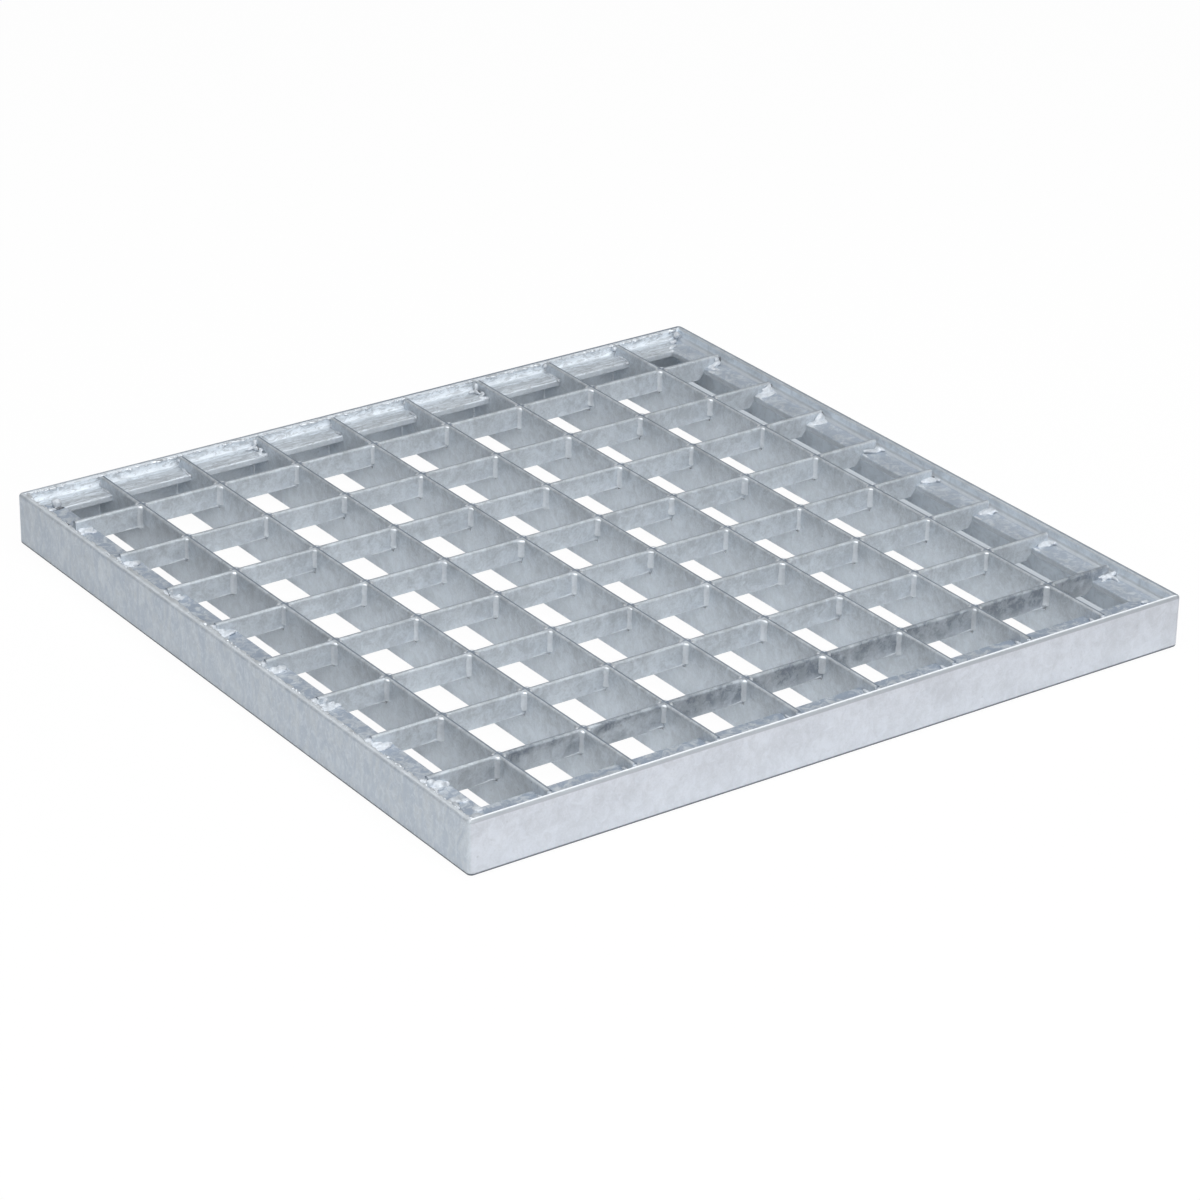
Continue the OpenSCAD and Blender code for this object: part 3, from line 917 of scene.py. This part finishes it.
class SteelFinish(Operator):
    """Gives the bars and the edging their zinc, and mixes the thick zinc"""
    bl_idname = "grating.steel_finish"
    bl_label = "Galvanised finish"

    def execute(self, context):
        look = context.scene.grating_finish
        bars = zinc_material("zinc_bars", look.bar_colour, look.roughness, look.mottle,
                             relief=0.25 * MM, speckle=0.10, pitted=1.0, marks=bar_marks)
        edging = zinc_material("zinc_edging", look.edging_colour, look.roughness + 0.08,
                               look.mottle * 0.6, relief=0.2 * MM, speckle=0.06, pitted=0.8,
                               marks=edging_marks)
        zinc_material("zinc_run", look.run_colour, look.run_roughness, look.mottle * 0.5,
                      relief=0.06 * MM, speckle=0.04, pitted=0.0)
        zinc_material("zinc_weld", look.weld_colour, look.roughness + 0.1, look.mottle,
                      relief=0.15 * MM, speckle=0.08, pitted=0.6, metal=0.25)
        # dark material of the painted shade in the weld slits
        slit_shade_material("slit_shade", look.slit_shade_colour)
        for name, material in (("bar_grid", bars), ("edging_strip", edging)):
            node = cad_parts[name]
            if not node.material_slots:
                raise RuntimeError(f"node {name} has no material slot")
            for slot in node.material_slots:
                slot.material = material
        return {"FINISHED"}


# ---------------------------------------------------------------- stage

# each softbox: name, place and side in metres, and the setting that holds its brightness
SOFTBOXES = (("front_softbox", (-0.95, -1.35, 1.2), 1.0, "front_lamp"),
             ("side_softbox", (0.5, -1.8, 1.0), 1.0, "side_lamp"),
             ("top_softbox", (0.0, 0.0, 2.0), 1.6, "top_lamp"))
# the floor lies a little below the panel, so that their faces don't coincide
FLOOR_GAP = 0.1 * MM
SENSOR_WIDTH = 36
CLIP_START, CLIP_END = 0.05, 20


def add_softbox(name, place, size, brightness):
    """A square lamp that faces the panel, as bright as a sheet of that brightness."""
    lamp = bpy.data.lights.new(name, "AREA")
    lamp.shape = "SQUARE"
    lamp.size = size
    lamp.energy = math.pi * size * size * brightness
    holder = bpy.data.objects.new(name, lamp)
    holder.location = place
    holder.rotation_euler = (-Vector(place)).to_track_quat("-Z", "Y").to_euler()
    holder.visible_camera = False
    bpy.context.scene.collection.objects.link(holder)


def seen_directly(s):
    """1 for camera and transmission rays, 0 for the rest."""
    path = s.add("ShaderNodeLightPath")
    return s.math("MAXIMUM", path.outputs["Is Camera Ray"], path.outputs["Is Transmission Ray"])


def floor_material(stage):
    """Matt white, glowing evenly where it is looked at, with the shade of the right-hand rib."""
    material = bpy.data.materials.new("floor_white")
    material.use_nodes = True
    s = NodeSheet(material.node_tree)
    matt = s.add("ShaderNodeBsdfDiffuse")
    matt.inputs["Color"].default_value = (*stage.floor_colour, 1)
    plain = s.add("ShaderNodeEmission")
    plain.inputs["Strength"].default_value = 1.0
    blend = s.add("ShaderNodeMixShader")
    x, y, _ = s.split(s.add("ShaderNodeTexCoord").outputs["Object"])
    nose = CAD_HIGH.x - bpy.context.scene.grating_sizes.rib_reach
    roofed = s.times(s.band(x, nose + 3 * MM, CAD_HIGH.x - 2 * MM, 2 * MM),
                     s.band(y, CAD_LOW.y + 2 * MM, CAD_HIGH.y - 2 * MM, 0.5 * MM))
    s.join(s.mix(roofed, (1.0, 1.0, 1.0), tuple(stage.roofed_colour)), plain.inputs["Color"])
    s.join(s.times(seen_directly(s), stage.floor_glow), blend.inputs[0])
    s.join(matt.outputs[0], blend.inputs[1])
    s.join(plain.outputs[0], blend.inputs[2])
    s.join(blend.outputs[0], s.add("ShaderNodeOutputMaterial").inputs["Surface"])
    return material


def add_floor(stage):
    """One square under the panel."""
    half = stage.floor_size / 2
    mesh_data = bmesh.new()
    corners = [mesh_data.verts.new((x * half, y * half, CAD_LOW.z - FLOOR_GAP))
               for x, y in ((-1, -1), (1, -1), (1, 1), (-1, 1))]
    mesh_data.faces.new(corners)
    mesh = bpy.data.meshes.new("floor")
    mesh_data.to_mesh(mesh)
    mesh_data.free()
    mesh.materials.append(floor_material(stage))
    floor = bpy.data.objects.new("floor", mesh)
    bpy.context.scene.collection.objects.link(floor)


def add_room(stage):
    """Pale room: plain white to the camera, dimmer as light."""
    world = bpy.data.worlds.new("pale_room")
    world.use_nodes = True
    bpy.context.scene.world = world
    s = NodeSheet(world.node_tree)
    room = s.add("ShaderNodeBackground")
    room.inputs["Color"].default_value = (1, 1, 1, 1)
    path = s.add("ShaderNodeLightPath")
    lift = s.times(path.outputs["Is Camera Ray"], 1 - stage.room)
    s.join(s.plus(lift, stage.room), room.inputs["Strength"])
    s.join(room.outputs[0], s.add("ShaderNodeOutputWorld").inputs["Surface"])


def add_camera(stage):
    """The camera, at its distance from the aim along its heading and elevation."""
    lens = bpy.data.cameras.new("camera")
    lens.sensor_width = SENSOR_WIDTH
    lens.lens = stage.lens
    lens.clip_start, lens.clip_end = CLIP_START, CLIP_END
    camera = bpy.data.objects.new("camera", lens)
    back = Vector((math.sin(stage.heading) * math.cos(stage.height),
                   -math.cos(stage.heading) * math.cos(stage.height),
                   math.sin(stage.height)))
    camera.rotation_mode = "QUATERNION"
    camera.rotation_quaternion = ((-back).to_track_quat("-Z", "Y")
                                  @ Matrix.Rotation(stage.roll, 4, "Z").to_quaternion())
    camera.location = Vector(stage.aim) + back * stage.distance
    bpy.context.scene.collection.objects.link(camera)
    bpy.context.scene.camera = camera


class Stage(Operator):
    """White floor, pale room, three softboxes and the camera"""
    bl_idname = "grating.stage"
    bl_label = "Stage"

    def execute(self, context):
        stage = context.scene.grating_stage
        add_floor(stage)
        add_room(stage)
        for name, place, size, brightness in SOFTBOXES:
            add_softbox(name, place, size, getattr(stage, brightness))
        add_camera(stage)
        context.scene.view_settings.view_transform = "Standard"
        return {"FINISHED"}


# ---------------------------------------------------------------- sidebar

OPERATORS = (SteelFinish, ZincFillets, ZincDrips, EndWelds, CornerWelds, RimZinc, WebSeams,
             SlitShade, Stage)


class GratingPanel(Panel):
    """Sizes, colours and steps of the grating panel"""
    bl_idname = "VIEW3D_PT_grating"
    bl_label = "Steel grating panel"
    bl_space_type = "VIEW_3D"
    bl_region_type = "UI"
    bl_category = "Grating"

    def draw(self, context):
        for owner, group in SETTINGS.items():
            box = self.layout.box()
            for prop in group.__annotations__:
                box.prop(getattr(context.scene, owner), prop)
        for operator in OPERATORS:
            self.layout.operator(operator.bl_idname)


CLASSES = (*SETTINGS.values(), *OPERATORS, GratingPanel)


def register():
    for cls in CLASSES:
        bpy.utils.register_class(cls)
    for owner, group in SETTINGS.items():
        setattr(bpy.types.Scene, owner, PointerProperty(type=group))


def unregister():
    for owner in SETTINGS:
        delattr(bpy.types.Scene, owner)
    for cls in reversed(CLASSES):
        bpy.utils.unregister_class(cls)


def main():
    register()
    for operator in OPERATORS:
        group, step = operator.bl_idname.split(".")
        getattr(getattr(bpy.ops, group), step)()


if __name__ == "__main__":
    main()
